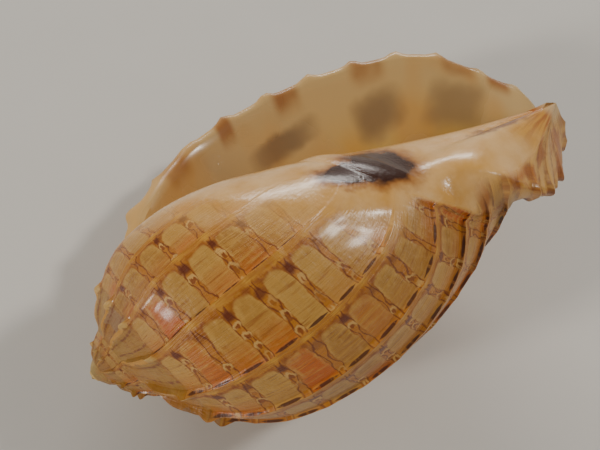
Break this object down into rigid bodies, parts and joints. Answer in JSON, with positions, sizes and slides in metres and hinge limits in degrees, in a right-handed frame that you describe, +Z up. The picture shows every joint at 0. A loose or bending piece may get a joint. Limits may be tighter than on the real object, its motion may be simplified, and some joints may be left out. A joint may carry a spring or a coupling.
{
  "type": "seashell",
  "caption": "Ribbed spiral seashell with a wide flared mouth, a short spire and small shoulder spines, lying on its back; a natural ornament to display or hold.",
  "frame": {"origin": "middle of the base of the box round the shell, on the floor it lies on", "axes": "+X from the spire to the front end, +Y towards the edge of the outer lip, +Z up, out of the upturned mouth"},
  "size_m": [0.0595, 0.0378, 0.0296],
  "materials": {
    "shell": "glossy, naturally glazed"
  },
  "bodies": {
    "root": {"shell": "shell"}
  },
  "joints": []
}
